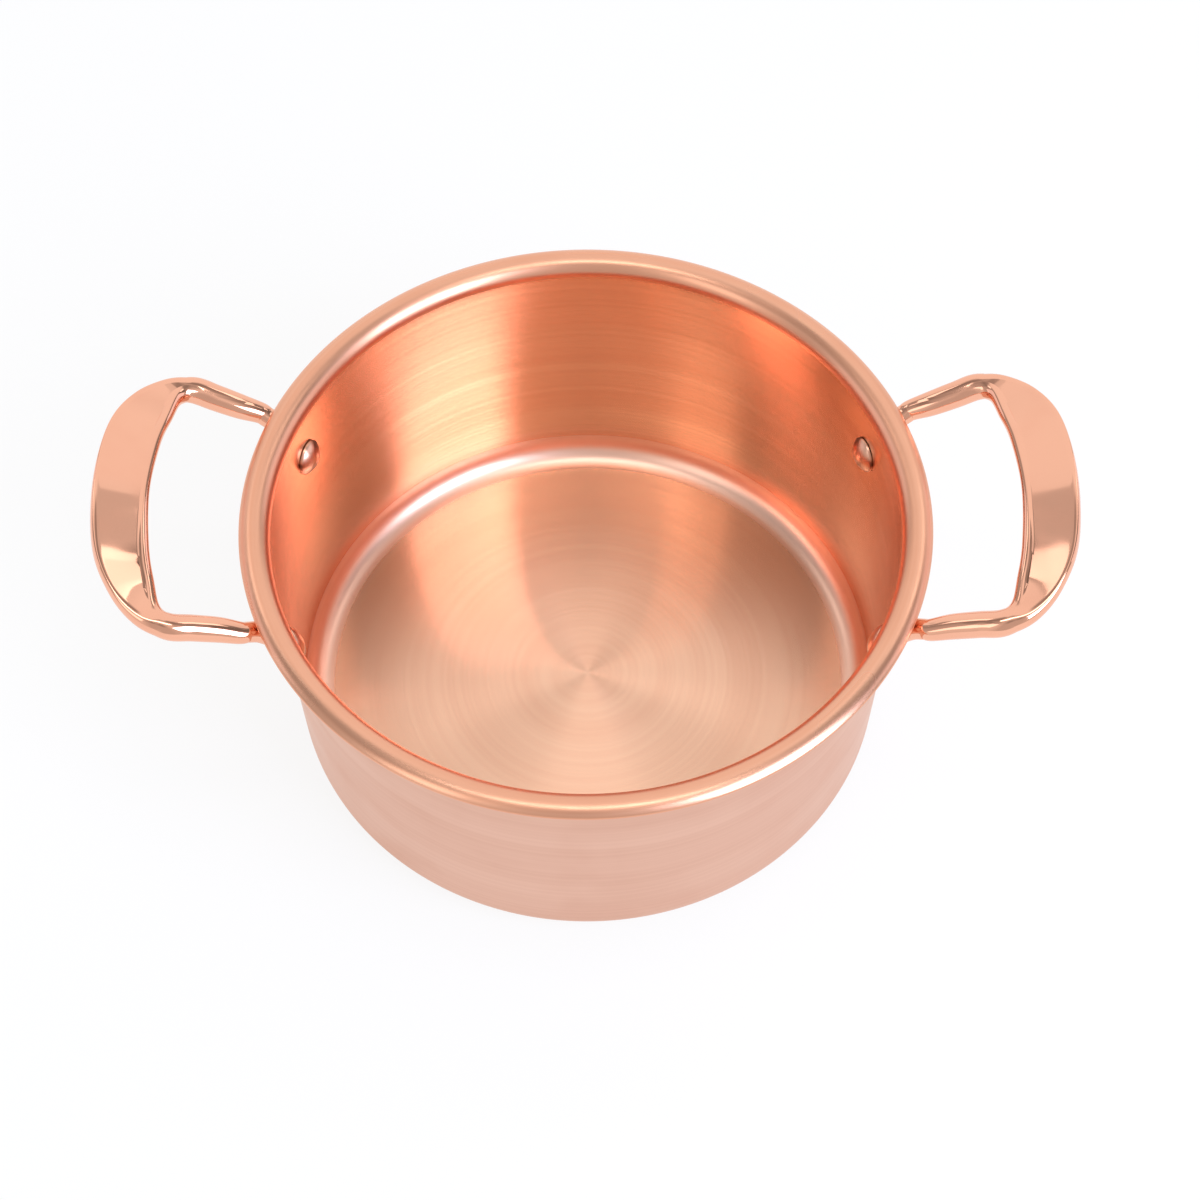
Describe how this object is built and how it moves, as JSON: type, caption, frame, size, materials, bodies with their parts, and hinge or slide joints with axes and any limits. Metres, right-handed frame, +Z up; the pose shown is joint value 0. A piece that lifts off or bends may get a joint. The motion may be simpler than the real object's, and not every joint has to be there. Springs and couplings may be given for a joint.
{
  "type": "copper cooking pot",
  "caption": "Round copper cooking pot with a flat floor, an outward-turned lip and a riveted loop handle on each side, open at the top.",
  "frame": {"origin": "middle of the base, on the surface that the pot stands on", "axes": "+Z up along the pot's axis, +X along the line through both handles"},
  "size_m": [0.2788, 0.2, 0.1077],
  "materials": {
    "spun_copper": "bare copper, spun and brushed in rings on the floor and wall, smooth on the lip",
    "polished_copper": "copper-coloured metal, polished to a soft mirror"
  },
  "bodies": {
    "root": {"pot_body": "spun_copper", "handle_right": "polished_copper", "handle_left": "polished_copper", "rivet_left_back": "polished_copper", "rivet_left_front": "polished_copper", "rivet_right_back": "polished_copper", "rivet_right_front": "polished_copper"}
  },
  "joints": []
}
